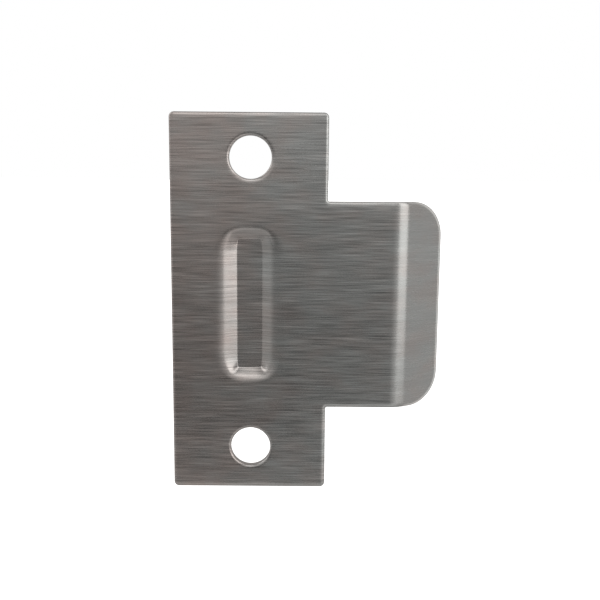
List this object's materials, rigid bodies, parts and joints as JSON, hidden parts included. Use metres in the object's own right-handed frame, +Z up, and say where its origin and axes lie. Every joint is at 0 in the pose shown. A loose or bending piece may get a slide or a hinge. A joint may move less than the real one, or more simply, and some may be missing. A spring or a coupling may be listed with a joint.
{
  "type": "roller latch strike plate",
  "caption": "Flat T-shaped stainless strike plate with screw holes, a pressed pocket that catches a roller latch, and a bent-back lip that guides the roller in.",
  "frame": {"origin": "middle of the faceplate's width and height, in the plane of its flat back, between the two screw holes", "axes": "+Z up along the faceplate, +X from the faceplate towards the lip, +Y into the door frame"},
  "size_m": [0.0501, 0.006, 0.0698],
  "materials": {
    "stainless_sheet": "satin stainless, fine brushing across the plate's width"
  },
  "bodies": {
    "root": {"strike_plate": "stainless_sheet"}
  },
  "joints": []
}
